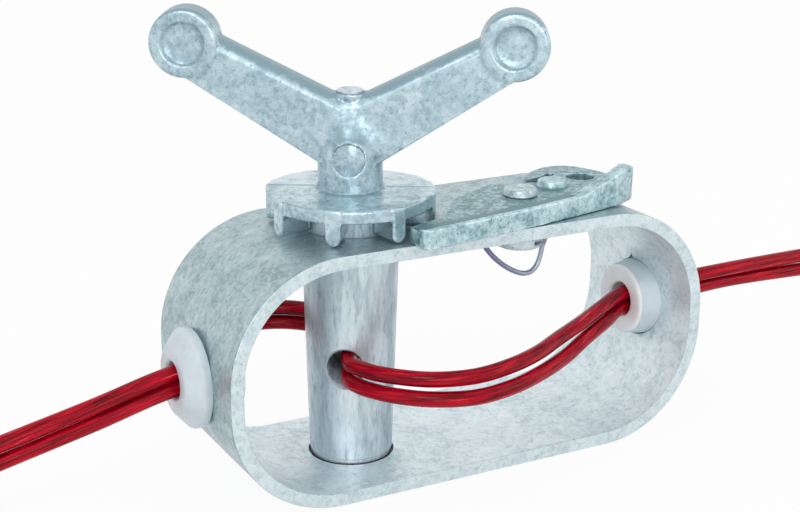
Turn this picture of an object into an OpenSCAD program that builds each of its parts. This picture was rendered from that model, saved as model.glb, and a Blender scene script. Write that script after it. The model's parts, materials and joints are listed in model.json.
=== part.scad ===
// Ratchet cable winch: a flat bar bent into a closed loop, a tapered drum across it with a
// winged handle and an eight-tooth ratchet, a spring pawl, and a doubled wire cable that runs
// in through one end bush, through the drum and out of the other.
// Units are millimetres. +X runs along the frame, +Y to the back and +Z up; the origin is the
// middle of the frame's underside.

/* [Frame] */
// Length of the bent loop outside
frame_l = 117; // [112:1:125]
// Height of the bent loop outside
frame_h = 55; // [53:0.5:58]
// Width of the flat bar
bar_w = 40; // [36:1:46]
// Thickness of the flat bar
bar_t = 3; // [2.6:0.1:3.2]
// Outside radius of the four bends
bend_r = 25; // [22:0.5:26]

/* [Drum] */
// Distance from the frame's left end to the drum's axis
drum_inset = 36.5; // [35:0.5:40]
// Diameter of the drum at the frame's underside
drum_foot_d = 18; // [16:0.5:19]
// Diameter of the drum at the frame's top
drum_head_d = 21.2; // [20:0.2:22]
// Gap round the drum in the frame's two holes
drum_gap = 0.4; // [0.3:0.05:0.6]
// Diameter of the cable hole through the drum
cable_hole_d = 7.8; // [7.4:0.1:8.4]
// Height of the cable hole above the frame's underside
cable_hole_z = 25.3; // [24:0.1:27]
// Direction in which the cable leaves the drum, from +X
cable_hole_angle = -125; // [-130:1:-120]
// Width of the retaining ring that is clear of the drum
ring_w = 3; // [2:0.25:4]
// Thickness of the retaining ring
ring_t = 1.2; // [1:0.1:1.4]

/* [Handle] */
// Direction of the handle's right wing, from +X
handle_angle = -30; // [-45:1:-15]
// Distance from the drum's axis to the middle of a wing's knob
knob_reach = 34; // [30:0.5:38]
// Height of the knobs above the frame's top
knob_rise = 39; // [37:0.5:42]
// Diameter of a knob
knob_d = 14.4; // [12:0.2:16]
// Diameter of the shallow dish in each face of a knob
dish_d = 9.6; // [7:0.2:10]
// Thickness of the wings
wing_t = 8.1; // [7:0.1:9]
// Radius along a wing's two upper edges
wing_edge_r = 3; // [2:0.1:3.8]
// Height of the valley between the wings above the ratchet
valley_rise = 18.5; // [17:0.5:20]
// Diameter of the hub
hub_d = 13.8; // [13:0.1:15]
// Height above the ratchet at which the wings' lower edges leave the hub
hub_h = 6; // [5:0.5:7]
// Diameter of the upper end of the drum's spindle
spindle_tip_d = 5.6; // [5:0.1:6]
// Diameter of the lower length of the drum's spindle
spindle_d = 9.6; // [9:0.1:10]
// Diameter of the shank of the cross pin
cross_pin_d = 5; // [4:0.1:5.4]
// Diameter of the heads of the cross pin
cross_pin_head_d = 6.8; // [6.4:0.1:7.2]
// Height of the cross pin above the ratchet
cross_pin_rise = 7; // [6.5:0.1:7.6]

/* [Ratchet] */
// Diameter of the ratchet's disc
disc_d = 35.8; // [34:0.2:37]
// Thickness of the disc at the crest
disc_t = 3.5; // [3:0.1:4]
// How far a tooth stands out of the rim
tooth_proud = 0.3; // [0.2:0.05:0.5]
// Width of a tooth
tooth_w = 3.2; // [2.6:0.1:3.6]
// Depth of the teeth below the disc
tooth_h = 4.7; // [4.5:0.1:5]
// Number of teeth
tooth_count = 8; // [8:1:8]
// Direction of the first tooth, from the handle's right wing
tooth_angle = -8; // [-10:1:-4]

/* [Pawl] */
// Distance from the frame's right end to the pawl's pivot
pivot_inset = 42.5; // [40:0.5:46]
// Distance of the pawl's pivot in front of the frame's middle line
pivot_front = 7.5; // [7:0.25:8]
// Thickness of the pawl
pawl_t = 4.2; // [3.8:0.1:4.3]
// Depth of the pawl's top face below the lip along its front edge
pawl_sink = 0.8; // [0.4:0.1:1]
// Gap under the pawl and under the rivet's head
pawl_gap = 0.2; // [0.15:0.05:0.3]
// Height of the thumb tab above the pawl's lip
tab_h = 3.6; // [3:0.1:6]
// Diameter of the eye near the pawl's rear lobe
pawl_eye_d = 6.7; // [5:0.1:7]
// Diameter of the rivet's shank
rivet_d = 5; // [4.5:0.1:5.5]
// Diameter of the rivet's upper head
rivet_head_d = 7.4; // [7:0.1:8]
// Diameter of the rivet's lower head
rivet_foot_d = 10.2; // [10:0.1:11]
// Length of shank left for the spring below the frame
spring_room = 4; // [4:0.1:4.5]

/* [Spring] */
// Diameter of the spring's wire
wire_d = 1.1; // [0.9:0.05:1.2]
// Gap between the coil and the rivet's shank
coil_gap = 0.6; // [0.4:0.05:0.8]
// Rise of one turn of the coil
coil_pitch = 1.55; // [1.5:0.05:1.65]

/* [Bushes] */
// Height of the bushes' middle above the frame's underside
bush_z = 26.7; // [26:0.1:27.5]
// Diameter of a bush's bore
bush_bore_d = 8; // [7.8:0.1:8.4]
// Diameter of a bush's body in the frame's hole
bush_body_d = 18.5; // [17:0.1:19]
// Diameter of the domed flange outside the frame
bush_flange_d = 21.4; // [20.5:0.1:23]
// Height of the domed flange
bush_flange_h = 5; // [4:0.1:5.5]
// How far the body stands out inside the frame
bush_inner_h = 5.4; // [4:0.1:6]

/* [Cable] */
// Diameter of the cable over its jacket
cable_d = 3.4; // [3:0.1:3.5]
// Length of the crimped ferrules
ferrule_l = 11; // [9:0.5:11]
// Wall of the crimped ferrules
ferrule_wall = 1.2; // [1:0.1:1.5]

/* [Hidden] */
$fn = 64;

// Frame
half_l = frame_l / 2;
inner_top = frame_h - bar_t;
bend = min(bend_r, frame_h / 2);
through = 100;
notch_reach = bush_body_d / 2 + 0.85;
notch_half = 2;
notch_turn = 16;

// Drum: it tapers evenly from foot to head and goes on up to the ratchet's underside
drum_x = drum_inset - half_l;
floor_gap = 0.3;
rim_gap = 0.3;
disc_z = frame_h + rim_gap + tooth_h;
drum_taper = (drum_head_d - drum_foot_d) / 2 / frame_h;
function drum_r(z) = drum_foot_d / 2 + drum_taper * z;
hole_chamfer = 0.5;

// Retaining ring, in a groove just under the top of the frame
ring_z = inner_top - rim_gap - ring_t;
groove_depth = 0.9;
groove_r = drum_r(ring_z) - groove_depth;
ring_play = 0.05;

// Handle, in its own plane: u runs along the wings from the drum's axis and z is up
crest_z = disc_z + disc_t;
knob_z = frame_h + knob_rise;
wing_low_z = crest_z + hub_h;
valley_z = crest_z + valley_rise;
knob_under = 5.9;
knob_over = 4.3;
low_slope = atan2(knob_z - wing_low_z - knob_under, knob_reach - hub_d / 2);
top_slope = atan2(knob_z + knob_over * 0.9 - valley_z, knob_reach - knob_over * 0.44);
boss_d = spindle_tip_d + 1.4;
boss_z = valley_z + 2.2;
tip_z = boss_z + 0.2;
spindle_step_z = valley_z - 6;
spindle_gap = 0.05;
tip_dish = 0.8;
cross_pin_z = crest_z + cross_pin_rise;
pin_head_seat = hub_d / 2 - 1.8;
knob_dish = 0.7;
disc_slope = 0.025;
core_r = drum_r(disc_z);
core_gap = 0.2;
hub_shoulder_z = crest_z + 8;
hub_neck_z = valley_z - 1;

// Pawl and its rivet
pivot_x = half_l - pivot_inset;
pivot_y = -pivot_front;
pawl_z = frame_h + pawl_gap;
pawl_top = pawl_z + pawl_t;
plate_top = pawl_top - pawl_sink;
head_z = plate_top + pawl_gap / 2;
head_h = 1.6;
head_flare = 0.4;
foot_t = 1.4;
foot_z = inner_top - spring_room;
pivot_play = 0.05;
tip_r = disc_d / 2 + tooth_proud;
nose_gap = 0.3;
nose_x = drum_x + 4.5;
nose_y = -18.1;
nose_w = 5.9;
lug_x = pivot_x + 10.5;
lug_y = pivot_y + 3.3;
lug_h = 1.5;
lug_foot_d = 7.6;
lug_top_d = 6;
eye_x = pivot_x + 21;
eye_y = pivot_y + 7.4;
tab_w = 3.6;
lip_w = 1.5;

// Spring: a coil round the rivet, a leg up through the frame and pawl, and a tail that hangs
// in a loop under the rivet and hooks into the frame
coil_r = rivet_d / 2 + coil_gap + wire_d / 2;
coil_steps = 17;
coil_foot_z = foot_z + 0.3 + wire_d / 2;
leg_x = pivot_x + 16;
leg_y = pivot_y + 12.2;
leg_tip_z = plate_top + 0.6;
leg_reach = sqrt(pow(leg_x - pivot_x, 2) + pow(leg_y - pivot_y, 2));
leg_angle = atan2(leg_y - pivot_y, leg_x - pivot_x);
coil_start = leg_angle + acos(coil_r / leg_reach);
coil_end = 270 + 360;
coil_top_z = coil_foot_z + coil_pitch * (coil_end - coil_start) / 360;
anchor_x = pivot_x - 10.4;
anchor_d = wire_d + 0.7;
tail_tip_z = frame_h - 0.2;
spring_tail = concat([for (p = [
    [2.6, -3.5, 0.8], [5.2, -2.4, 0.7], [6.2, -1.1, -0.1], [6.2, -0.2, -1.8], [5.8, 0, -4.4],
    [4.9, 0, -6.5], [3.5, 0, -7.7], [1.3, 0, -7.8], [-1.2, 0, -6.8], [-4, 0, -5],
    [-6.7, 0, -2.6], [-8.8, 0, 0], [-10, 0, 2.6]]) p + [pivot_x, pivot_y, foot_z]],
    [[anchor_x, pivot_y, inner_top + 0.6], [anchor_x, pivot_y, tail_tip_z]]);
slot_w = wire_d + 0.8;
slot_step = 0.04;
slot_back = 5;
slot_ahead = 14;

// Bushes
bush_mouth_x = half_l + bush_flange_h;
bush_round = 1.5;
flange_rim = 1;
bush_play = 0.05;

// Cable: both strands run side by side, one above the other
strand_r = cable_d / 2;
right_upper_route = [
    [-26.9, -9.4, 27.2], [-26.3, -13.2, 27.3], [-24.8, -16.8, 27.3], [-21.6, -21.2, 27.4],
    [-15.9, -25.8, 27.4], [-7.5, -28.2, 27.4], [1.5, -27.1, 27.5], [11, -23.6, 27.6],
    [21, -17.9, 27.8], [31, -12, 27.8], [41, -6, 28.1], [50, -1.2, 28.4],
    [bush_mouth_x, 0, 28.8]];
right_lower_route = [
    [-26.9, -9.4, 23.4], [-26.7, -13.4, 23.4], [-25.4, -17.2, 23.5], [-22.3, -21.8, 23.5],
    [-16.5, -26.9, 23.5], [-8, -30, 23.5], [1.5, -29, 23.6], [11, -25.4, 23.7],
    [21, -20.1, 23.9], [31, -13.5, 24.3], [41, -7.2, 24.6], [50, -1.35, 24.8],
    [bush_mouth_x, 0, 25.2]];
left_upper_route = [
    [-17, 9.4, 27.2], [-17.1, 14.2, 27.9], [-20.2, 20, 28.5], [-26.2, 25.4, 28.8],
    [-33.2, 27, 29], [-39.4, 23, 29.1], [-42.6, 15.8, 28.9], [-45, 8.2, 28.7],
    [-49.6, 1.5, 28.4], [-bush_mouth_x, 0, 28.2]];
left_lower_route = [
    [-17, 9.4, 23.4], [-17.1, 14.2, 24.2], [-20.2, 20, 24.9], [-26.2, 25.4, 25.2],
    [-33.2, 27, 25.4], [-39.4, 23, 25.5], [-42.6, 15.8, 25.3], [-45, 8.2, 25.1],
    [-49.6, 1.5, 24.8], [-bush_mouth_x, 0, 24.6]];
left_eye_route = [
    [-bush_mouth_x, 0, 28.2], [-80, 0, 24.3], [-104.9, 0, 18.8], [-115.9, 0, 16.1],
    [-123.6, 4.6, 14.8], [-132, 11.3, 14.4], [-141.5, 12.8, 14.2], [-148.6, 7.4, 14],
    [-149.8, 0, 13.8], [-148.6, -7.4, 13.6], [-141.5, -12.8, 13.4], [-132, -11.3, 13.1],
    [-123.6, -4.6, 12.7], [-115.1, 0, 12.4], [-104.1, 0, 15.1], [-80, 0, 20.6],
    [-bush_mouth_x, 0, 24.6]];
right_eye_route = [
    [bush_mouth_x, 0, 28.8], [82, -0.7, 29.6], [111, 0, 29.3], [122, 0, 29.1],
    [131, 4.6, 28.8], [139, 11.3, 28.5], [148.5, 12.8, 28.2], [155.6, 7.4, 27.8],
    [156.8, 0, 27.4], [155.6, -7.4, 27], [148.5, -12.8, 26.6], [139, -11.3, 26.2],
    [131, -4.6, 25.8], [122, 0, 25.3], [111, 0, 25.5], [82, 0.7, 26],
    [bush_mouth_x, 0, 25.2]];
hole_way = [cos(cable_hole_angle), sin(cable_hole_angle), 0];

// A tube swept along a path, each ring carried on from the last without twist. It leaves its
// first point and reaches its last in the stated directions, if there are any.
function unit(v) = v / norm(v);
function heading(path, i, from, to) =
    i == 0 && !is_undef(from) ? from :
    i == len(path) - 1 && !is_undef(to) ? to :
    unit(path[min(i + 1, len(path) - 1)] - path[max(i - 1, 0)]);
function across(v) = unit(cross(v, abs(v.z) > 0.8 ? [1, 0, 0] : [0, 0, 1]));
function carried(path, i, side, from, to) =
    i >= len(path) ? [] :
    let (t = heading(path, i, from, to), s = unit(side - (side * t) * t))
    concat([s], carried(path, i + 1, s, from, to));
module tube(path, r, sides = 8, from, to) {
    count = len(path);
    side = carried(path, 0, across(heading(path, 0, from, to)), from, to);
    rings = [for (i = [0:count - 1]) for (k = [0:sides - 1])
        let (a = 360 * k / sides, up = cross(heading(path, i, from, to), side[i]))
        path[i] + r * (cos(a) * side[i] + sin(a) * up)];
    walls = [for (i = [0:count - 2]) for (k = [0:sides - 1])
        let (a = i * sides + k, b = i * sides + (k + 1) % sides)
        each [[a, b, a + sides], [b, b + sides, a + sides]]];
    foot = [for (k = [sides - 1:-1:0]) k];
    top = [for (k = [0:sides - 1]) (count - 1) * sides + k];
    polyhedron(rings, concat(walls, [foot, top]), convexity = 6);
}

coil_path = [for (i = [0:coil_steps])
    let (a = coil_start + (coil_end - coil_start) * i / coil_steps)
    [pivot_x + coil_r * cos(a), pivot_y + coil_r * sin(a),
        coil_top_z - (coil_top_z - coil_foot_z) * i / coil_steps]];
leg_path = [
    [leg_x, leg_y, leg_tip_z], [leg_x, leg_y, pawl_z], [leg_x, leg_y, inner_top],
    [leg_x - 0.2, leg_y - 0.15, coil_top_z + 0.15], [leg_x - 1, leg_y - 0.7, coil_top_z]];
spring_path = concat(leg_path, coil_path, spring_tail);
echo(spring_gap_to_itself = min([for (i = [0:len(spring_path) - 1])
    for (j = [i + 5:1:len(spring_path) - 1])
    norm(spring_path[j] - spring_path[i])]) - wire_d);

// ---- Frame ----

module loop_outline(l, h, r) {
    for (x = [r - l / 2, l / 2 - r])
        for (z = [r, h - r])
            translate([x, z]) circle(r, $fn = 96);
    translate([r - l / 2, 0]) square([l - 2 * r, h]);
    translate([-l / 2, r]) square([l, h - 2 * r]);
}

module frame() {
    color("LightSteelBlue") difference() {
        translate([0, bar_w / 2, 0]) rotate([90, 0, 0]) linear_extrude(bar_w) difference() {
            loop_outline(frame_l, frame_h, bend);
            translate([0, bar_t])
                loop_outline(frame_l - 2 * bar_t, frame_h - 2 * bar_t, bend - bar_t);
        }
        translate([drum_x, 0, frame_h / 2])
            cylinder(r = drum_r(frame_h) + drum_gap, h = frame_h);
        translate([drum_x, 0, -frame_h / 2])
            cylinder(r = drum_r(bar_t) + drum_gap, h = frame_h);
        translate([pivot_x, pivot_y, frame_h / 2]) cylinder(d = rivet_d, h = frame_h);
        translate([anchor_x, pivot_y, frame_h / 2]) cylinder(d = anchor_d, h = frame_h);
        spring_slot();
        for (side = [-1, 1])
            translate([side * half_l, 0, bush_z]) bush_hole();
    }
}

// Round hole for a bush, with a small notch at its top
module bush_hole() {
    rotate([0, 90, 0])
        cylinder(r = bush_body_d / 2 + bush_play, h = 4 * bar_t, center = true);
    rotate([90, 0, 90]) rotate(-notch_turn) linear_extrude(4 * bar_t, center = true)
        polygon([[-notch_half, bush_body_d / 2 - 1], [notch_half, bush_body_d / 2 - 1],
            [0, notch_reach]]);
}

// Curved slot under the pawl in which the spring's leg swings
module spring_slot() {
    translate([pivot_x, pivot_y, inner_top - 1]) rotate(leg_angle - slot_back)
        rotate_extrude(angle = slot_back + slot_ahead)
            translate([leg_reach - slot_w / 2, 0]) square([slot_w, bar_t + 2]);
    for (a = [-slot_back, slot_ahead])
        translate([pivot_x, pivot_y, inner_top - 1]) rotate(leg_angle + a)
            translate([leg_reach, 0, 0]) cylinder(d = slot_w - slot_step, h = bar_t + 2);
}

// ---- Drum, handle and ratchet ----

module drum() {
    color("Silver") difference() {
        union() {
            translate([drum_x, 0, floor_gap])
                cylinder(r1 = drum_r(floor_gap), r2 = drum_r(disc_z), h = disc_z - floor_gap);
            translate([drum_x, 0, disc_z])
                cylinder(d = spindle_d, h = spindle_step_z - disc_z);
            translate([drum_x, 0, spindle_step_z])
                cylinder(d = spindle_tip_d, h = tip_z - spindle_step_z);
        }
        translate([drum_x, 0, cable_hole_z]) rotate([0, 0, cable_hole_angle])
            rotate([0, 90, 0]) cylinder(d = cable_hole_d, h = through, center = true);
        for (turn = [0, 180])
            translate([drum_x, 0, cable_hole_z]) rotate([0, 0, cable_hole_angle + turn])
                translate([drum_r(cable_hole_z) - 2 * hole_chamfer, 0, 0]) rotate([0, 90, 0])
                    cylinder(d1 = cable_hole_d, d2 = cable_hole_d + 4 * hole_chamfer,
                        h = 2 * hole_chamfer);
        translate([drum_x, 0, ring_z - ring_play]) difference() {
            cylinder(d = 2 * drum_head_d, h = ring_t + 2 * ring_play);
            cylinder(r = groove_r, h = 3 * ring_t, center = true);
        }
        cross_pin_hole(cross_pin_d);
        translate([drum_x, 0, tip_z]) cylinder(d1 = 0.6, d2 = spindle_tip_d - 1.2,
            h = 2 * tip_dish, center = true);
    }
}

module cross_pin_hole(d) {
    translate([drum_x, 0, cross_pin_z]) rotate([90, 0, handle_angle])
        cylinder(d = d, h = 2 * hub_d, center = true);
}

module cross_pin() {
    color("LightGray") intersection() {
        translate([drum_x, 0, cross_pin_z]) rotate([90, 0, handle_angle]) {
            cylinder(d = cross_pin_d, h = hub_d, center = true);
            for (side = [0, 1])
                mirror([0, 0, side]) translate([0, 0, pin_head_seat])
                    cylinder(d = cross_pin_head_d, h = hub_d);
        }
        translate([drum_x, 0, crest_z]) cylinder(d = hub_d, h = 2 * cross_pin_rise);
    }
}

module retaining_ring() {
    color("DimGray") translate([drum_x, 0, ring_z]) rotate(60)
        rotate_extrude(angle = 300)
            translate([groove_r + ring_play, 0])
                square([drum_r(ring_z) + ring_w - groove_r - ring_play, ring_t]);
}

// One wing in the handle's plane, from the axis out to the knob, with round upper edges
module wing() {
    low_out = [knob_reach + knob_under * sin(low_slope), knob_z - knob_under * cos(low_slope)];
    top_out = [knob_reach - knob_over * sin(top_slope), knob_z + knob_over * cos(top_slope)];
    intersection() {
        linear_extrude(wing_t, center = true)
            polygon([[0, wing_low_z - 1], [hub_d / 2 - 1, wing_low_z - 0.4], low_out, top_out,
                [0, valley_z]]);
        translate([0, valley_z, 0]) rotate([0, 0, top_slope]) rotate([0, 90, 0])
            translate([0, 0, -wing_t]) linear_extrude(2 * knob_reach) {
                square([wing_t - 2 * wing_edge_r, 3 * knob_d], center = true);
                translate([-wing_t / 2, -2 * knob_d]) square([wing_t, 2 * knob_d - wing_edge_r]);
                for (side = [-1, 1])
                    translate([side * (wing_t / 2 - wing_edge_r), -wing_edge_r])
                        circle(wing_edge_r);
            }
    }
}

module handle() {
    color("LightBlue") difference() {
        union() {
            translate([drum_x, 0, 0]) rotate([90, 0, handle_angle]) {
                for (side = [0, 1])
                    mirror([side, 0, 0]) {
                        wing();
                        translate([knob_reach, knob_z, 0])
                            cylinder(d = knob_d, h = wing_t + 0.6, center = true);
                    }
            }
            translate([drum_x, 0, 0]) rotate_extrude()
                polygon([[0, disc_z], [hub_d / 2, disc_z], [hub_d / 2, hub_shoulder_z],
                    [wing_t / 2, hub_neck_z], [0, hub_neck_z]]);
            translate([drum_x, 0, valley_z - 2]) cylinder(d = boss_d, h = boss_z - valley_z + 2);
            disc();
            for (i = [0:tooth_count - 1])
                translate([drum_x, 0, 0])
                    rotate(handle_angle + tooth_angle + 360 * i / tooth_count) tooth();
        }
        for (side = [-1, 1], face = [-1, 1])
            translate([drum_x, 0, knob_z]) rotate([90, 0, handle_angle])
                translate([side * knob_reach, 0, face * (wing_t / 2 + 0.3)])
                    cylinder(d = dish_d, h = 2 * knob_dish, center = true);
        translate([drum_x, 0, disc_z - 1])
            cylinder(d = spindle_d + 2 * spindle_gap, h = spindle_step_z - disc_z + 1);
        translate([drum_x, 0, spindle_step_z - 1])
            cylinder(d = spindle_tip_d + 2 * spindle_gap, h = boss_z);
        cross_pin_hole(cross_pin_d);
        translate([drum_x, 0, cross_pin_z]) rotate([90, 0, handle_angle])
            for (side = [0, 1])
                mirror([0, 0, side]) translate([0, 0, pin_head_seat])
                    cylinder(d = cross_pin_head_d, h = hub_d);
    }
}

// Disc whose top slopes down a little either way from a crest in the wings' plane
module disc() {
    span = disc_d;
    edge = disc_t - disc_slope * span / 2;
    translate([drum_x, 0, disc_z]) intersection() {
        cylinder(d = disc_d, h = disc_t);
        rotate([90, 0, handle_angle + 90]) linear_extrude(2 * span, center = true)
            polygon([[-span / 2, 0], [span / 2, 0], [span / 2, edge], [0, disc_t],
                [-span / 2, edge]]);
    }
}

// One tooth under the disc, with a round lower edge and a strip up the rim
module tooth() {
    root_r = core_r + core_gap;
    low_z = frame_h + rim_gap;
    translate([0, 0, low_z]) intersection() {
        union() {
            translate([root_r, -tooth_w / 2, tooth_w / 2])
                cube([tip_r, tooth_w, disc_z - low_z - tooth_w / 2]);
            translate([root_r, 0, tooth_w / 2]) rotate([0, 90, 0])
                cylinder(d = tooth_w, h = tip_r, $fn = 32);
            translate([disc_d / 2 - 1, -tooth_w / 2, tooth_w / 2])
                cube([2, tooth_w, disc_z - low_z + disc_t - 0.6 - tooth_w / 2]);
        }
        cylinder(r = tip_r, h = through);
    }
}

// ---- Pawl, rivet and spring ----

// Outline from above, about the pivot: the nose keeps its place beside the drum
module pawl_outline() {
    nose = [nose_x - pivot_x, nose_y - pivot_y];
    difference() {
        polygon(concat(
            [nose - [0, nose_w], nose - [-1, nose_w + 1]],
            [[-3, -12.7], [3.1, -11.3], [12.3, -9.3], [22, -7.1], [27.4, -4.1], [29, 0.5],
                [28.6, 5.7], [27.2, 11.1], [25.3, 15.5], [22.6, 17.8], [20.6, 18.4], [17, 18],
                [13, 16.1], [9.9, 13.5], [8.6, 11.9], [8.2, 10.7]],
            [[14.6, 12.6], [16, 13.1], [16.9, 12.5], [16.8, 11.5], [16, 11.1], [13.2, 9.9]],
            [[10.4, 8.3], [8.9, 7.3], [7.2, 8.1], [4.4, 9.9], [0.8, 11], [-3.6, 10.1],
                [-8.1, 7.4], [-12.2, 5.7], [-15.5, 3.3], [-19.6, -1.5], [-23.6, -7.2]],
            [nose]));
        translate([drum_x - pivot_x, -pivot_y]) circle(tip_r + nose_gap);
    }
}

// Lip that stands along the front edge, from the nose to the tab
module pawl_lip() {
    edge = [[nose_x - pivot_x, nose_y - pivot_y - nose_w],
        [nose_x - pivot_x + 1, nose_y - pivot_y - nose_w - 1],
        [-3, -12.7], [3.1, -11.3], [12.3, -9.3], [22, -7.1]];
    last = len(edge) - 1;
    linear_extrude(pawl_t)
        polygon(concat(edge, [for (i = [last:-1:0]) edge[i] + lip_w * [-0.22, 0.97]]));
}

// Thumb tab that ramps up along the front edge at the right end
module pawl_tab() {
    foot = [9.6, -9.9];
    bend = [22, -7.1];
    end = [27.4, -4.1];
    intersection() {
        translate([0, 0, pawl_z]) linear_extrude(pawl_t + tab_h)
            polygon([foot, bend, end, end + [1.1, 3.1], end + tab_w * [-0.5, 0.89],
                bend + tab_w * [-0.22, 0.97], foot + tab_w * [-0.22, 0.97]]);
        translate([0, through / 2, 0]) rotate([90, 0, 0]) linear_extrude(through)
            polygon([[4, pawl_z], [30, pawl_z], [30, pawl_top + tab_h - 2.4],
                [28.6, pawl_top + tab_h - 0.6], [26.4, pawl_top + tab_h],
                [22, pawl_top + tab_h - 0.3], [10.5, pawl_top], [4, pawl_top]]);
    }
}

module pawl() {
    color("LightSlateGray") difference() {
        union() {
            translate([pivot_x, pivot_y, 0]) {
                translate([0, 0, pawl_z]) linear_extrude(plate_top - pawl_z) pawl_outline();
                translate([0, 0, pawl_z]) pawl_lip();
                pawl_tab();
            }
            translate([lug_x, lug_y, plate_top - 0.5])
                cylinder(d1 = lug_foot_d, d2 = lug_top_d, h = lug_h + 0.5);
        }
        translate([pivot_x, pivot_y, pawl_z - 1])
            cylinder(d = rivet_d + 2 * pivot_play, h = pawl_t + 2);
        translate([eye_x, eye_y, pawl_z - 1]) cylinder(d = pawl_eye_d, h = pawl_t + 2);
    }
}

module pawl_rivet() {
    foot_r = rivet_foot_d / 2;
    color("Gainsboro") translate([pivot_x, pivot_y, 0]) {
        translate([0, 0, foot_z]) cylinder(d = rivet_d, h = head_z - foot_z);
        translate([0, 0, head_z]) cylinder(d1 = rivet_head_d + head_flare,
            d2 = rivet_head_d - head_flare, h = head_h);
        translate([0, 0, foot_z]) mirror([0, 0, 1]) rotate_extrude()
            polygon([[0, 0], [foot_r, 0], [foot_r, 0.5],
                for (a = [15:15:75]) [foot_r * cos(a), 0.5 + (foot_t - 0.5) * sin(a)],
                [0, foot_t]]);
    }
}

module pawl_spring() {
    color("SlateGray") tube(spring_path, wire_d / 2, sides = 6);
}

// ---- Bushes ----

// Profile of a bush: x is the radius and y the distance outwards from the frame's end face
module bush_profile() {
    bore_r = bush_bore_d / 2;
    flange_r = bush_flange_d / 2;
    body_r = bush_body_d / 2;
    lip_r = bore_r + bush_round;
    deep = -bar_t - bush_inner_h;
    polygon(concat(
        [[body_r, 0], [flange_r, 0], [flange_r, flange_rim]],
        [for (a = [15:15:90]) [lip_r + (flange_r - lip_r) * cos(a),
            flange_rim + (bush_flange_h - flange_rim) * sin(a)]],
        [for (a = [30:30:90]) [lip_r - bush_round * sin(a),
            bush_flange_h - bush_round * (1 - cos(a))]],
        [for (a = [0:30:90]) [lip_r - bush_round * cos(a), deep + bush_round * (1 - sin(a))]],
        [for (a = [0:30:90]) [body_r - 0.8 - bush_round * (1 - sin(a)),
            deep + bush_round * (1 - cos(a))]],
        [[body_r, -bar_t]]));
}

module bush(side) {
    color("WhiteSmoke") translate([side * half_l, 0, bush_z]) rotate([0, side * 90, 0])
        rotate_extrude() bush_profile();
}

module left_bush() {
    bush(-1);
}

module right_bush() {
    bush(1);
}

// ---- Cable ----

// A strand from the drum's surface to the mouth of a bush
module strand(route, side) {
    color("FireBrick") tube(route, strand_r, from = side * hole_way, to = [side, 0, 0]);
}

module left_upper_strand() {
    strand(left_upper_route, -1);
}

module left_lower_strand() {
    strand(left_lower_route, -1);
}

module right_upper_strand() {
    strand(right_upper_route, 1);
}

module right_lower_strand() {
    strand(right_lower_route, 1);
}

// The stretch of each strand inside the drum, which turns with it
module drum_strand(front, back) {
    inside = drum_r(cable_hole_z) - 0.6;
    color("FireBrick") intersection() {
        tube([front, back], strand_r);
        translate([drum_x, 0, 0]) cylinder(r = inside, h = frame_h);
    }
}

module drum_upper_strand() {
    drum_strand(right_upper_route[0], left_upper_route[0]);
}

module drum_lower_strand() {
    drum_strand(right_lower_route[0], left_lower_route[0]);
}

// The two strands outside a bush, joined by a loop beyond the ferrule
module cable_eye(route, side) {
    color("FireBrick") tube(route, strand_r, from = [side, 0, 0], to = [-side, 0, 0]);
}

module left_cable_eye() {
    cable_eye(left_eye_route, -1);
}

module right_cable_eye() {
    cable_eye(right_eye_route, 1);
}

// Oval sleeve crimped over both strands, where the route's third and fourth points lie
module ferrule(route) {
    last = len(route) - 1;
    near = (route[2] + route[last - 2]) / 2;
    far = (route[3] + route[last - 3]) / 2;
    run = far - near;
    tilt = 90 - atan2(run.z, norm([run.x, run.y]));
    grip = norm(route[2] - route[last - 2]);
    color("LightGray") translate((near + far) / 2) rotate([0, tilt, atan2(run.y, run.x)])
        linear_extrude(ferrule_l, center = true) difference() {
            union() {
                for (side = [-1, 1])
                    translate([side * grip / 2, 0]) circle(strand_r + ferrule_wall);
                square([grip, cable_d + 2 * ferrule_wall], center = true);
            }
            for (side = [-1, 1])
                translate([side * grip / 2, 0]) circle(strand_r);
        }
}

module left_ferrule() {
    ferrule(left_eye_route);
}

module right_ferrule() {
    ferrule(right_eye_route);
}

frame();
handle();
drum();
cross_pin();
retaining_ring();
left_bush();
right_bush();
pawl();
pawl_rivet();
pawl_spring();
left_upper_strand();
left_lower_strand();
right_upper_strand();
right_lower_strand();
drum_upper_strand();
drum_lower_strand();
left_cable_eye();
right_cable_eye();
left_ferrule();
right_ferrule();
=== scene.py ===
import json
import math

import bpy
import numpy as np
from mathutils import Matrix, Vector

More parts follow.
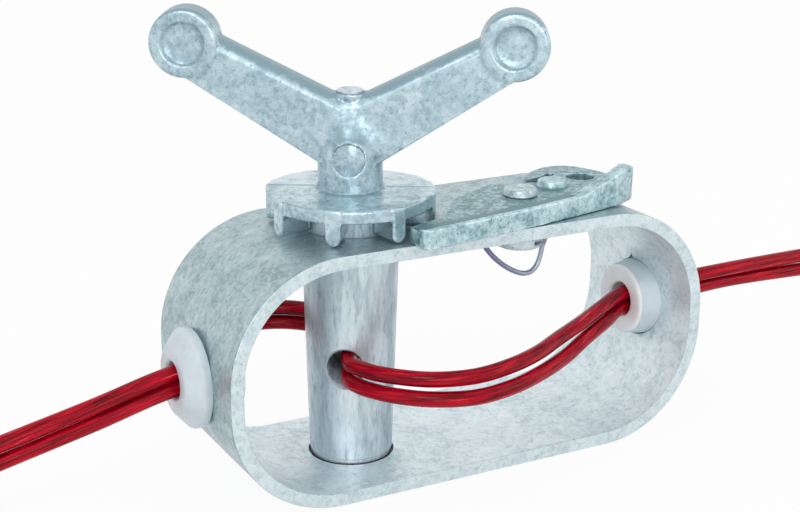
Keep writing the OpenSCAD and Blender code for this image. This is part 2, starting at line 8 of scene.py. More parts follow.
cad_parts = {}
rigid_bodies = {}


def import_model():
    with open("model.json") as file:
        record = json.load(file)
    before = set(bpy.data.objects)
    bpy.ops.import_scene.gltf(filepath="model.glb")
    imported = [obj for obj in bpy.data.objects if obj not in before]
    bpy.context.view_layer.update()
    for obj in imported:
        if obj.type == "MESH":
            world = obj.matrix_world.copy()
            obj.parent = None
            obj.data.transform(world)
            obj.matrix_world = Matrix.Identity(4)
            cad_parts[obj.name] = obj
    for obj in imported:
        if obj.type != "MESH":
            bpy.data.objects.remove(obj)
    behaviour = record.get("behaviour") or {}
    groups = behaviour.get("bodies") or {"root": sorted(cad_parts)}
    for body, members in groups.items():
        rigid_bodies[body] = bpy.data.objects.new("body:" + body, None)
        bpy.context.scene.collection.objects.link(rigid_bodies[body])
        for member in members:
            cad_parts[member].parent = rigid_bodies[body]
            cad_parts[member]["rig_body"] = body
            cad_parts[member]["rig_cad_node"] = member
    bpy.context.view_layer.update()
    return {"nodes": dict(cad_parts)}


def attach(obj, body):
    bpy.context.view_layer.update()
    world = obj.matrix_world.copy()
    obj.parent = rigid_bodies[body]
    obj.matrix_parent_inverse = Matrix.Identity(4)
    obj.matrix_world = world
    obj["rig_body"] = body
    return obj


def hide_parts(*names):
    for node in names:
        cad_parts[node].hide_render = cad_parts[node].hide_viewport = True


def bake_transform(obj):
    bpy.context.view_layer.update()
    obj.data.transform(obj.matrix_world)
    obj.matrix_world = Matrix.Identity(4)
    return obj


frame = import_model()
MM = 0.001

# Sizes and places that several pieces share, in millimetres
END_X, EDGE_Y, TOP_Z = 58.5, 20, 55
DRUM_X, CABLE_HOLE_Z = -22, 25.3
PIVOT_X, PIVOT_Y = 16, -7.5
BUSH_Z = 26.7


# ---- Camera: a little to the left of the winch's front and above it ----

def add_camera():
    azimuth, elevation, roll = (math.radians(a) for a in (-28.499, 17.678, 0.437))
    distance = 341.69 * MM
    target = Vector((-9.896, 0, 46.067)) * MM
    focal_pixels, picture_pixels, sensor = 1560.19, 800, 36
    back = Vector((math.sin(azimuth) * math.cos(elevation),
                   -math.cos(azimuth) * math.cos(elevation), math.sin(elevation)))
    right = Vector((math.cos(azimuth), math.sin(azimuth), 0))
    up = back.cross(right)
    turned_right = math.cos(roll) * right + math.sin(roll) * up
    turned_up = math.cos(roll) * up - math.sin(roll) * right
    camera = bpy.data.objects.new("camera", bpy.data.cameras.new("camera"))
    bpy.context.scene.collection.objects.link(camera)
    camera.data.sensor_width = sensor
    camera.data.lens = focal_pixels * sensor / picture_pixels
    camera.data.clip_start, camera.data.clip_end = 0.01, 30
    turn = Matrix((turned_right, turned_up, back)).transposed()
    camera.matrix_world = Matrix.Translation(target + back * distance) @ turn.to_4x4()
    bpy.context.scene.camera = camera


add_camera()

# ---- Cable: each side's two strands and the loop that joins them are one length ----

CABLE_D = 3.4 * MM
ROUTE_STEPS, CABLE_SIDES = 8, 20
BUSH_MOUTH = 63.5
RIGHT_UPPER = [
    (-26.9, -9.4, 27.2), (-26.3, -13.2, 27.3), (-24.8, -16.8, 27.3), (-21.6, -21.2, 27.4),
    (-15.9, -25.8, 27.4), (-7.5, -28.2, 27.4), (1.5, -27.1, 27.5), (11, -23.6, 27.6),
    (21, -17.9, 27.8), (31, -12, 27.8), (41, -6, 28.1), (50, -1.2, 28.4)]
RIGHT_LOWER = [
    (-26.9, -9.4, 23.4), (-26.7, -13.4, 23.4), (-25.4, -17.2, 23.5), (-22.3, -21.8, 23.5),
    (-16.5, -26.9, 23.5), (-8, -30, 23.5), (1.5, -29, 23.6), (11, -25.4, 23.7),
    (21, -20.1, 23.9), (31, -13.5, 24.3), (41, -7.2, 24.6), (50, -1.35, 24.8)]
LEFT_UPPER = [
    (-17, 9.4, 27.2), (-17.1, 14.2, 27.9), (-20.2, 20, 28.5), (-26.2, 25.4, 28.8),
    (-33.2, 27, 29), (-39.4, 23, 29.1), (-42.6, 15.8, 28.9), (-45, 8.2, 28.7),
    (-49.6, 1.5, 28.4)]
LEFT_LOWER = [
    (-17, 9.4, 23.4), (-17.1, 14.2, 24.2), (-20.2, 20, 24.9), (-26.2, 25.4, 25.2),
    (-33.2, 27, 25.4), (-39.4, 23, 25.5), (-42.6, 15.8, 25.3), (-45, 8.2, 25.1),
    (-49.6, 1.5, 24.8)]
LEFT_EYE = [
    (-BUSH_MOUTH, 0, 28.2), (-80, 0, 24.3), (-104.9, 0, 18.8), (-115.9, 0, 16.1),
    (-123.6, 4.6, 14.8), (-132, 11.3, 14.4), (-141.5, 12.8, 14.2), (-148.6, 7.4, 14),
    (-149.8, 0, 13.8), (-148.6, -7.4, 13.6), (-141.5, -12.8, 13.4), (-132, -11.3, 13.1),
    (-123.6, -4.6, 12.7), (-115.1, 0, 12.4), (-104.1, 0, 15.1), (-80, 0, 20.6),
    (-BUSH_MOUTH, 0, 24.6)]
RIGHT_EYE = [
    (BUSH_MOUTH, 0, 28.8), (82, -0.7, 29.6), (111, 0, 29.3), (122, 0, 29.1),
    (131, 4.6, 28.8), (139, 11.3, 28.5), (148.5, 12.8, 28.2), (155.6, 7.4, 27.8),
    (156.8, 0, 27.4), (155.6, -7.4, 27), (148.5, -12.8, 26.6), (139, -11.3, 26.2),
    (131, -4.6, 25.8), (122, 0, 25.3), (111, 0, 25.5), (82, 0.7, 26),
    (BUSH_MOUTH, 0, 25.2)]
DRUM_MIDDLE = (-21.95, 0)


def smooth_route(points, steps):
    """Points in metres on a smooth (centripetal Catmull-Rom) curve through the route's points."""
    p = [Vector(q) * MM for q in points]
    p = [2 * p[0] - p[1]] + p + [2 * p[-1] - p[-2]]
    found = []
    for i in range(1, len(p) - 2):
        a, b, c, d = p[i - 1:i + 3]
        ta = math.sqrt((b - a).length)
        tb = ta + math.sqrt((c - b).length)
        tc = tb + math.sqrt((d - c).length)
        for k in range(steps):
            t = ta + (tb - ta) * k / steps
            ab = a + (b - a) * (t / ta)
            bc = b + (c - b) * ((t - ta) / (tb - ta))
            cd = c + (d - c) * ((t - tb) / (tc - tb))
            abc = ab + (bc - ab) * (t / tb)
            bcd = bc + (cd - bc) * ((t - ta) / (tc - ta))
            found.append(abc + (bcd - abc) * ((t - ta) / (tb - ta)))
    return found + [p[-2]]


def round_tube(name, line, radius, sides):
    """A closed round tube along a line, with its length and way round as UV in centimetres."""
    side = (line[1] - line[0]).orthogonal().normalized()
    corners, ways = [], []
    run = 0.0
    for i, point in enumerate(line):
        ahead = (line[min(i + 1, len(line) - 1)] - line[max(i - 1, 0)]).normalized()
        side = (side - side.dot(ahead) * ahead).normalized()
        up = ahead.cross(side)
        run += (point - line[i - 1]).length if i else 0
        ways.append(run)
        for k in range(sides):
            a = 2 * math.pi * k / sides
            corners.append(point + radius * (math.cos(a) * side + math.sin(a) * up))
    faces, uvs = [], []
    for i in range(len(line) - 1):
        for k in range(sides):
            a, b = i * sides + k, i * sides + (k + 1) % sides
            faces.append((a, b, b + sides, a + sides))
            uvs += [(ways[i] * 100, k / sides), (ways[i] * 100, (k + 1) / sides),
                    (ways[i + 1] * 100, (k + 1) / sides), (ways[i + 1] * 100, k / sides)]
    last = (len(line) - 1) * sides
    faces += [tuple(range(sides - 1, -1, -1)), tuple(range(last, last + sides))]
    uvs += [(0, 0)] * sides + [(ways[-1] * 100, 0)] * sides
    mesh = bpy.data.meshes.new(name)
    mesh.from_pydata(corners, [], faces)
    layer = mesh.uv_layers.new(name="UVMap")
    for loop, uv in zip(layer.data, uvs):
        loop.uv = uv
    mesh.shade_smooth()
    piece = bpy.data.objects.new(name, mesh)
    bpy.context.scene.collection.objects.link(piece)
    return piece


def add_cable(name, upper, eye, lower, nodes):
    """One side's cable, from the drum's middle out through the eye and back to it."""
    route = ([(*DRUM_MIDDLE, upper[0][2])] + upper + eye + lower[::-1]
             + [(*DRUM_MIDDLE, lower[0][2])])
    line = smooth_route(route, ROUTE_STEPS)
    cable = round_tube(name, line, CABLE_D / 2, CABLE_SIDES)
    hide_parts(*nodes)
    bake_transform(cable)
    return cable


# ---- Modelling helpers ----

def deselect():
    if bpy.context.mode != "OBJECT":
        bpy.ops.object.mode_set(mode="OBJECT")
    bpy.ops.object.select_all(action="DESELECT")


def take(piece):
    deselect()
    piece.select_set(True)
    bpy.context.view_layer.objects.active = piece


def settle(piece):
    """Puts the piece's place, turn and size into its mesh."""
    take(piece)
    bpy.ops.object.transform_apply(location=True, rotation=True, scale=True)


def pick(piece, kind, test):
    """Opens the piece in edit mode with the vertices, edges or faces that pass selected."""
    take(piece)
    bpy.ops.object.mode_set(mode="EDIT")
    bpy.ops.mesh.select_mode(type=kind)
    bpy.ops.mesh.select_all(action="DESELECT")
    bpy.ops.object.mode_set(mode="OBJECT")
    mesh = piece.data
    if kind == "VERT":
        for v in mesh.vertices:
            v.select = test(v.co / MM)
    elif kind == "EDGE":
        for e in mesh.edges:
            e.select = test(*(mesh.vertices[i].co / MM for i in e.vertices))
    else:
        for f in mesh.polygons:
            f.select = test(f.center / MM, f.normal)
    bpy.ops.object.mode_set(mode="EDIT")


def done():
    bpy.ops.object.mode_set(mode="OBJECT")


def add(kind, name, at=(0, 0, 0), turn=(0, 0, 0), **settings):
    """A primitive at its place, in millimetres and degrees."""
    deselect()
    settings = {k: v * MM if k in ("radius", "radius1", "radius2", "depth", "size") else v
                for k, v in settings.items()}
    operator = getattr(bpy.ops.mesh, f"primitive_{kind}_add")
    operator(location=Vector(at) * MM, rotation=[math.radians(a) for a in turn], **settings)
    piece = bpy.context.object
    piece.name = piece.data.name = name
    settle(piece)
    return piece


def block(name, low, high):
    """A box between two corners."""
    low, high = Vector(low), Vector(high)
    piece = add("cube", name, size=1)
    piece.scale = (high - low)
    piece.location = (low + high) / 2 * MM
    settle(piece)
    return piece


def modify(piece, kind, **settings):
    take(piece)
    modifier = piece.modifiers.new(kind, kind)
    for key, value in settings.items():
        setattr(modifier, key, value)
    bpy.ops.object.modifier_apply(modifier=modifier.name)
    return piece


def cut(piece, *cutters, how="DIFFERENCE"):
    """Cuts the other pieces out of this one, or fuses them with it."""
    for cutter in cutters:
        modify(piece, "BOOLEAN", operation=how, object=cutter, solver="MANIFOLD")
        bpy.data.objects.remove(cutter)
    return piece


def copy_of(piece, name):
    twin = piece.copy()
    twin.data = piece.data.copy()
    twin.name = twin.data.name = name
    bpy.context.scene.collection.objects.link(twin)
    return twin


def round_all(piece, voxel, passes, factor=0.5):
    """Fuses the piece's solids into one skin and wears its edges round, as on a casting."""
    modify(piece, "REMESH", mode="VOXEL", voxel_size=voxel * MM, use_smooth_shade=True)
    return modify(piece, "SMOOTH", factor=factor, iterations=passes)


def turned(name, profile, steps):
    """A piece turned about Z: a vertex is drawn along the profile's radii and heights and spun."""
    piece = add("plane", name, at=(profile[0][0], 0, profile[0][1]), size=1)
    pick(piece, "VERT", lambda p: True)
    bpy.ops.mesh.merge(type="CENTER")
    for a, b in zip(profile, profile[1:]):
        move = Vector((b[0] - a[0], 0, b[1] - a[1])) * MM
        bpy.ops.mesh.extrude_region_move(TRANSFORM_OT_translate={"value": move})
    bpy.ops.mesh.select_all(action="SELECT")
    bpy.ops.mesh.spin(steps=steps, angle=2 * math.pi, center=(0, 0, 0), axis=(0, 0, 1))
    bpy.ops.mesh.select_all(action="SELECT")
    bpy.ops.mesh.remove_doubles(threshold=0.0005 * MM)
    bpy.ops.mesh.normals_make_consistent(inside=False)
    done()
    return piece


def arc(x, z, r, start, end, steps):
    """Points of a round corner, for a profile."""
    return [(x + r * math.cos(math.radians(start + (end - start) * i / steps)),
             z + r * math.sin(math.radians(start + (end - start) * i / steps)))
            for i in range(steps + 1)]


def smooth_by_angle(piece, degrees):
    take(piece)
    bpy.ops.object.shade_smooth_by_angle(angle=math.radians(degrees))


def place(piece, at, turn=(0, 0, 0)):
    piece.location = Vector(at) * MM
    piece.rotation_euler = [math.radians(a) for a in turn]
    settle(piece)
    return piece


# Limits of the painted shade in hollows and of the lighter worn ridges
DARKEST_HOLLOW, BRIGHTEST_RIDGE = -0.3, 0.12


def mark_wear_and_shade(piece, reach):
    """Keeps how far each point stands out of its surroundings: lighter worn edges, and painted
    shade in hollows and corners.
    """
    mesh = piece.data
    count = len(mesh.vertices)
    co = np.empty(count * 3)
    normal = np.empty(count * 3)
    pairs = np.empty(len(mesh.edges) * 2, int)
    mesh.vertices.foreach_get("co", co)
    mesh.vertices.foreach_get("normal", normal)
    mesh.edges.foreach_get("vertices", pairs)
    co, normal, (a, b) = co.reshape(-1, 3), normal.reshape(-1, 3), pairs.reshape(-1, 2).T
    links = np.maximum(np.bincount(a, minlength=count) + np.bincount(b, minlength=count), 1)

    def around(values):
        return (np.bincount(a, values[b], count) + np.bincount(b, values[a], count)) / links

    mean = np.stack([around(co[:, k]) for k in range(3)], axis=1)
    lengths = np.linalg.norm(co[a] - co[b], axis=1)
    size = np.bincount(a, lengths, count) / links
    out = ((co - mean) * normal).sum(1) / np.maximum(size, 1e-9)
    for _ in range(reach):
        out = (out + around(out)) / 2
    hollow_share, ridge_share = 2.5, 0.5
    out = np.where(out < 0, out * hollow_share, out * ridge_share)
    out = np.clip(out, DARKEST_HOLLOW, BRIGHTEST_RIDGE)
    mesh.attributes.new("wear_and_shade", "FLOAT", "POINT").data.foreach_set("value", out.astype(np.float32))


def darken(piece, amount, share):
    """Takes from the wear-and-shade value of each point a share that goes with its place and the
    way it faces: painted shade, and painted light where the amount is negative.
    """
    for point, kept in zip(piece.data.vertices, piece.data.attributes["wear_and_shade"].data):
        kept.value -= amount * min(max(share(point.co / MM, point.normal), 0), 1)


# ---- Bent bar ----

BAR_T, BEND_R = 3, 25
TOP_HOLE_R, LOW_HOLE_R = 11, 9.49
HOOK = (5.6, -7.5)  # where the spring's tail ends in the bar
LEG = (32, 4.7)  # where the spring's leg stands at rest
LEG_REACH = math.hypot(LEG[0] - PIVOT_X, LEG[1] - PIVOT_Y)
LEG_WAY = math.degrees(math.atan2(LEG[1] - PIVOT_Y, LEG[0] - PIVOT_X))


def cut_slot(bar):
    """Curved slot about the pawl's pivot, in which the spring's leg moves."""
    width, end_r, depth, middle_z = 1.9, 0.93, 8, 53
    back, ahead = 5, 14
    slot = add("plane", "slot", at=(LEG_REACH, 0, middle_z), turn=(90, 0, 0), size=1)
    pick(slot, "FACE", lambda centre, normal: True)
    bpy.ops.transform.resize(value=(width, 1, depth))
    bpy.ops.mesh.spin(steps=12, angle=math.radians(back + ahead),
                      center=(0, 0, middle_z * MM), axis=(0, 0, 1))
    bpy.ops.mesh.select_all(action="SELECT")
    bpy.ops.mesh.normals_make_consistent(inside=False)
    done()
    place(slot, (PIVOT_X, PIVOT_Y, 0), (0, 0, LEG_WAY - back))
    for way in (LEG_WAY - back, LEG_WAY + ahead):
        at = (PIVOT_X + LEG_REACH * math.cos(math.radians(way)),
              PIVOT_Y + LEG_REACH * math.sin(math.radians(way)), middle_z)
        cut(bar, add("cylinder", "slot_end", at=at, radius=end_r, depth=depth, vertices=24))
    cut(bar, slot)


def cut_bush_hole(bar, side):
    """Round hole for a bush, with a small notch in its rim."""
    hole_r, notch_r, notch_reach, notch_turn = 9.3, 2.3, 8.4, 16
    cut(bar, add("cylinder", "hole", at=(side * END_X, 0, BUSH_Z), turn=(0, 90, 0),
                 radius=hole_r, depth=12, vertices=96))
    notch = add("cylinder", "notch", turn=(0, 90, 0), radius=notch_r, depth=12, vertices=3)
    way = math.radians(notch_turn)
    tip = Vector((0, math.sin(way), math.cos(way))) * notch_reach
    place(notch, (side * END_X, tip.y, BUSH_Z + tip.z), (-notch_turn, 0, 0))
    cut(bar, notch)


def make_bent_bar():
    bar = block("bent_bar", (-END_X, -EDGE_Y, 0), (END_X, EDGE_Y, TOP_Z))
    pick(bar, "EDGE", lambda a, b: abs(a.y - b.y) > 1)
    bpy.ops.mesh.bevel(offset=BEND_R * MM, segments=24, affect="EDGES")
    done()
    pick(bar, "FACE", lambda centre, normal: abs(normal.y) > 0.9)
    bpy.ops.mesh.delete(type="ONLY_FACE")
    done()
    modify(bar, "SOLIDIFY", thickness=BAR_T * MM, offset=-1, use_even_offset=True)
    pick(bar, "EDGE", lambda a, b: abs(a.y) > EDGE_Y - 0.1 and abs(a.y - b.y) < 0.1
         and abs((a - b).length - BAR_T) > 0.1)
    bpy.ops.mesh.bevel(offset=0.35 * MM, segments=2, affect="EDGES")
    done()
    cut_slot(bar)
    cut(bar,
        add("cylinder", "hole", at=(DRUM_X, 0, TOP_Z), radius=TOP_HOLE_R, depth=20, vertices=96),
        add("cylinder", "hole", at=(DRUM_X, 0, 0), radius=LOW_HOLE_R, depth=20, vertices=96),
        add("cylinder", "hole", at=(*HOOK, TOP_Z), radius=0.9, depth=20, vertices=24))
    for side in (-1, 1):
        cut_bush_hole(bar, side)
    smooth_by_angle(bar, 30)
    modify(bar, "WEIGHTED_NORMAL", keep_sharp=True)
    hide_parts("frame")
    return bar


# ---- Drum ----

HOLE_WAY = -125
FOOT_R, TAPER = 9, 1.6 / TOP_Z
HOLE_R, MOUTH_IN_R, MOUTH_R = 3.9, 3.7, 4.85


def drum_radius(z):
    return FOOT_R + TAPER * z


def shade_hole(drum):
    """The cable hole's wall is pale at the bottom and dark at the top."""
    pale, fall, fall_from, fall_over = 0.3, 0.6, 22, 6
    kept = drum.data.attributes.new("wear_and_shade", "FLOAT", "POINT").data
    for point, wear_and_shade in zip(drum.data.vertices, kept):
        wear_and_shade.value = pale - fall * min(max((point.co.z / MM - fall_from) / fall_over, 0), 1)


def make_drum():
    step, groove, groove_top, shoulder, neck = 4.1, 50.4, 51.8, 59.9, 76
    groove_depth, spindle_r, tip_r = 0.9, 4.8, 2.8
    drum = turned("drum_core", [
        (0, 0.3), (8.5, 0.3), (8.8, 0.6), (8.89, BAR_T), (drum_radius(step) - 0.2, step - 0.3),
        (drum_radius(step), step), (drum_radius(groove), groove),
        (drum_radius(groove) - groove_depth, groove),
        (drum_radius(groove) - groove_depth, groove_top),
        (drum_radius(groove_top), groove_top), (drum_radius(shoulder), shoulder),
        (spindle_r, shoulder), (spindle_r, neck), (tip_r, neck), (tip_r, 84.1),
        (2.5, 84.4), (2.2, 84.4), (1.5, 83.9), (0, 83.6)], 128)
    place(drum, (DRUM_X, 0, 0))
    way = math.radians(HOLE_WAY)
    cutters = [add("cylinder", "hole", at=(DRUM_X, 0, CABLE_HOLE_Z), turn=(0, 90, HOLE_WAY),
                   radius=HOLE_R, depth=30, vertices=64)]
    for side in (-1, 1):
        reach = side * (drum_radius(CABLE_HOLE_Z) - 0.8)
        at = (DRUM_X + reach * math.cos(way), reach * math.sin(way), CABLE_HOLE_Z)
        cutters.append(add("cone", "mouth", at=at, turn=(0, 90 * side, HOLE_WAY),
                           radius1=MOUTH_IN_R, radius2=MOUTH_R, depth=2, vertices=64))
    cut(drum, *cutters)
    shade_hole(drum)
    smooth_by_angle(drum, 30)
    modify(drum, "WEIGHTED_NORMAL", keep_sharp=True)
    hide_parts("drum")
    return drum


# ---- Handle: made upright about the drum's axis with its wings along X, then turned ----

HANDLE_TURN = -30
LOW_SLOPE, TOP_SLOPE = 0.637, 0.494
ROOT_X, ROOT_Z = 5.9, 69.1  # where a wing's lower side meets the hub
VALLEY_Z = 82
KNOB_X, KNOB_Z, KNOB_R = 34, 94, 7.2
PIN_Z, PIN_HEAD_R = 70.5, 3.4
DISC_R, DISC_TOP = 17.9, 63.5
TOOTH_FOOT, TOOTH_HALF, TOOTH_TIP_R = 55.3, 1.6, 18.2
TOOTH_COUNT, TOOTH_TURN = 8, -8


def make_wings():
    half = 4.05
    wings = block("handle_casting", (0, -half, 60), (36, half, 104))
    pick(wings, "FACE", lambda centre, normal: True)
    bpy.ops.mesh.bisect(plane_co=(ROOT_X * MM, 0, ROOT_Z * MM), plane_no=(LOW_SLOPE, 0, -1),
                        use_fill=True, clear_outer=True)
    bpy.ops.mesh.select_all(action="SELECT")
    bpy.ops.mesh.bisect(plane_co=(0, 0, VALLEY_Z * MM), plane_no=(-TOP_SLOPE, 0, 1),
                        use_fill=True, clear_outer=True)
    done()
    pick(wings, "FACE", lambda centre, normal: normal.x < -0.95)
    bpy.ops.mesh.delete(type="FACE")
    done()
    modify(wings, "MIRROR", use_axis=(True, False, False), merge_threshold=0.01 * MM)
    pick(wings, "EDGE", lambda a, b: abs(a.x) + abs(b.x) < 0.1 and a.z > 80 and b.z > 80)
    bpy.ops.mesh.bevel(offset=4 * MM, segments=6, affect="EDGES")
    done()
    pick(wings, "EDGE", lambda a, b: abs(a.y - b.y) < 0.01 and min(
        p.z - VALLEY_Z - TOP_SLOPE * abs(p.x) for p in (a, b)) > -0.1)
    bpy.ops.mesh.bevel(offset=3 * MM, segments=8, affect="EDGES", clamp_overlap=True)
    done()
    return wings


def make_knob(side):
    knob = add("cylinder", "knob", at=(side * KNOB_X, 0, KNOB_Z), turn=(90, 0, 0),
               radius=KNOB_R, depth=8.7, vertices=96)
    pick(knob, "EDGE", lambda a, b: abs(a.y - b.y) < 0.01)
    bpy.ops.mesh.bevel(offset=0.9 * MM, segments=4, affect="EDGES")
    done()
    return knob


def make_dish(side, face):
    """Cutter for the round hollow in one face of a knob."""
    profile = [(0, -0.85), (3, -0.82), (4.2, -0.6), (4.75, 0), (4.85, 0.8), (0, 0.8)]
    dish = turned("dish", profile, 64)
    return place(dish, (side * KNOB_X, face * 4.35, KNOB_Z), (-90 * face, 0, 0))


def make_ratchet():
    """Disc with a top that falls a little to both sides, and teeth under its edge."""
    disc = add("cylinder", "ratchet", at=(0, 0, 62), turn=(0, 0, 1.4), radius=DISC_R, depth=4,
               vertices=128)
    for side in (-1, 1):
        shave = place(block("shave", (-30, -40, 0), (30, 40, 10)), (0, 0, DISC_TOP),
                      (side * 2.6, 0, 0))
        cut(disc, shave)
    tooth = block("tooth", (11, -TOOTH_HALF, TOOTH_FOOT), (TOOTH_TIP_R, TOOTH_HALF, 61))
    pick(tooth, "EDGE", lambda a, b: a.z < 56 and b.z < 56 and abs(a.y - b.y) < 0.01)
    bpy.ops.mesh.bevel(offset=(TOOTH_HALF - 0.01) * MM, segments=6, affect="EDGES")
    done()
    strip = block("strip", (16.9, -TOOTH_HALF, 60), (TOOTH_TIP_R, TOOTH_HALF, 62.9))
    cut(tooth, strip, how="UNION")
    for k in range(TOOTH_COUNT):
        turn = 360 / TOOTH_COUNT * k + TOOTH_TURN
        cut(disc, place(copy_of(tooth, f"tooth_{k}"), (0, 0, 0), (0, 0, turn)), how="UNION")
    bpy.data.objects.remove(tooth)
    return disc


def soften_roots(handle):
    """Smooths the faces above the pin, so that the hub runs out between the wings."""
    def at_root(p):
        return (abs(p.x) < 12 and abs(p.y) > 2.5 and p.z < 80.5
                and p.z > ROOT_Z + 1.5 + LOW_SLOPE * max(abs(p.x) - ROOT_X, 0)
                and math.hypot(p.x, p.z - PIN_Z) > 4.1)

    pick(handle, "VERT", at_root)
    bpy.ops.mesh.vertices_smooth(factor=0.5, repeat=180)
    done()


def paint_handle_shading_and_parting_line(handle):
    """Painted shade on the upward faces and above the pin, painted light on the disc's top and in
    the hollows under it, and a dark parting line across the disc.
    """
    def on_disc(p, n):
        return n.z > 0.9 and 62 < p.z < 64

    # Painted shade on the faces that look up, for the darker reflection on the tops of the wings
    # and knobs
    darken(handle, 0.55, lambda p, n: (n.z - 0.35) * 2.5 if p.z > 83 else 0)
    # Painted light on the disc's top, a little less on its front half
    darken(handle, -0.27, lambda p, n: on_disc(p, n) * (0.7 if p.y < 0 else 1))
    # Painted shade on the hub's bulge above the pin, which dims its highlights
    darken(handle, 0.36, lambda p, n: (n.z - 0.12) * 4 if abs(p.x) < 9 and 73 < p.z < 80 else 0)
    darken(handle, 2.2, lambda p, n: on_disc(p, n) and abs(p.y) < 0.45 and -11.6 < p.x < -7.6)
    darken(handle, 0.8, lambda p, n: on_disc(p, n) and abs(p.y) < 0.35
           and 7.8 < abs(p.x) < 17.6)
    # Painted light in the hollows under the disc, against the shade there
    darken(handle, -0.5, lambda p, n: p.z < 60.4 and math.hypot(p.x, p.y) < 17.2)


def make_handle():
    handle = make_wings()
    hub = turned("hub", [(0, 60.2), (6.9, 60.2), (6.9, 71), (6.2, 74.5), (4.4, 78.5), (3.9, 81),
                         (0, 81)], 96)
    boss = turned("boss", [(0, 79), (2.3, 79), (2.5, 81.6), (3.5, 82.9), (3.5, 83.8),
                           (0, 83.8)], 64)
    cut(handle, make_knob(-1), make_knob(1), hub, boss, make_ratchet(), how="UNION")
    cut(handle,
        add("cylinder", "bore", at=(0, 0, 66), radius=4.85, depth=20, vertices=64),
        add("cylinder", "bore", at=(0, 0, 84), radius=2.85, depth=20, vertices=64),
        *(add("cylinder", "seat", at=(0, face * 9.1, PIN_Z), turn=(90, 0, 0), radius=3.3,
              depth=8, vertices=64) for face in (-1, 1)),
        *(make_dish(side, face) for side in (-1, 1) for face in (-1, 1)))
    round_all(handle, 0.31, 4)
    soften_roots(handle)
    mark_wear_and_shade(handle, 3)
    paint_handle_shading_and_parting_line(handle)
    place(handle, (DRUM_X, 0, 0), (0, 0, HANDLE_TURN))
    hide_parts("handle")
    return handle


def make_cross_pin():
    end, head, pin_r = 7.4, 5.1, 2.5
    pin = turned("pin_heads", [(0, -end), (PIN_HEAD_R, -end), (PIN_HEAD_R, -head), (pin_r, -head),
                               (pin_r, head), (PIN_HEAD_R, head), (PIN_HEAD_R, end),
                               (0, end)], 64)
    place(pin, (0, 0, 0), (90, 0, 0))
    cut(pin, add("cylinder", "skin", radius=6.94, depth=12, vertices=192), how="INTERSECT")
    modify(pin, "BEVEL", width=0.12 * MM, segments=2, limit_method="ANGLE",
           angle_limit=math.radians(40))
    place(pin, (DRUM_X, 0, PIN_Z), (0, 0, HANDLE_TURN))
    smooth_by_angle(pin, 30)
    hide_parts("cross_pin")
    return pin


# ---- Pawl, rivet and spring ----

PAWL_FRONT = [(-17.5, -25.2), (13, -20.2), (19.1, -18.8), (28.3, -16.8), (45, -13)]
PLATE_TOP = 58.9
SHADE_EDGE, SHADE_FADE, LEAST_SHADE = 6.2, 1.6, 0.3


def pawl_painted_shade(p, n):
    """Share of painted shade on the pawl's plate: a little over all its top, most of it along the
    foot of the front lip.
    """
    if n.z < 0.6 or p.z > PLATE_TOP:
        return 0
    behind = p.y - np.interp(p.x, *zip(*PAWL_FRONT))
    near_lip = min(max((SHADE_EDGE - behind) / SHADE_FADE, 0), 1)
    return LEAST_SHADE + (1 - LEAST_SHADE) * near_lip


def make_pawl():
    """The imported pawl's own mesh, joined up and worn round."""
    pawl = copy_of(frame["nodes"]["pawl"], "pawl_casting")
    pawl.parent = None
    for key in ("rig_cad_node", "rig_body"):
        del pawl[key]
    pawl.data.materials.clear()
    take(pawl)
    bpy.ops.object.mode_set(mode="EDIT")
    bpy.ops.mesh.select_all(action="SELECT")
    bpy.ops.mesh.remove_doubles(threshold=0.001 * MM)
    done()
    round_all(pawl, 0.24, 3)
    mark_wear_and_shade(pawl, 3)
    # Painted shade on the plate, darkest at the foot of the front lip
    darken(pawl, 0.5, pawl_painted_shade)
    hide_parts("pawl")
    return pawl


def make_rivet():
    """Rivet with a domed foot, on which a raised rim, open for the wire, holds the spring."""
    shank_r, foot_r, foot_z, foot_top = 2.5, 5.1, 47.5, 48
    rim_in, rim_top = 4.4, 49.45
    dome = [(foot_r * math.cos(math.radians(a)), foot_z - 0.9 * math.sin(math.radians(a)))
            for a in range(90, -1, -9)]
    rivet = turned("rivet", dome + [
        (foot_r, 47.85), (4.95, foot_top), (shank_r, foot_top), (shank_r, 58.7), (3.75, 58.7),
        (3.88, 58.9), (3.62, 59.9), (3.3, 60.3), (0, 60.3)], 64)
    rim = turned("rim", [
        (rim_in, 47.9), (foot_r, 47.9), (foot_r, 49.3), (4.98, rim_top), (4.55, rim_top),
        (rim_in, 49.3), (rim_in, 47.9)], 64)
    cut(rim, block("way_out", (0.9, -6, 47), (6, -1.6, 50)))
    cut(rivet, rim, how="UNION")
    place(rivet, (PIVOT_X, PIVOT_Y, 0))
    smooth_by_angle(rivet, 32)
    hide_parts("pawl_rivet")
    return rivet


WIRE_R = 0.59
COIL_R, COIL_LOW, COIL_PITCH, COIL_STEPS = 3.65, 48.85, 1.55, 32
COIL_END = 630  # degrees
SPRING_TAIL = [
    (18.6, -11, 48.8), (21.2, -9.9, 48.7), (22.2, -8.6, 47.9), (22.2, -7.7, 46.2),
    (21.8, -7.5, 43.6), (20.9, -7.5, 41.5), (19.5, -7.5, 40.3), (17.3, -7.5, 40.2),
    (14.8, -7.5, 41.2), (12, -7.5, 43), (9.3, -7.5, 45.4), (7.2, -7.5, 48),
    (6, -7.5, 50.6), (5.6, -7.5, 52.6), (5.6, -7.5, 54.8)]


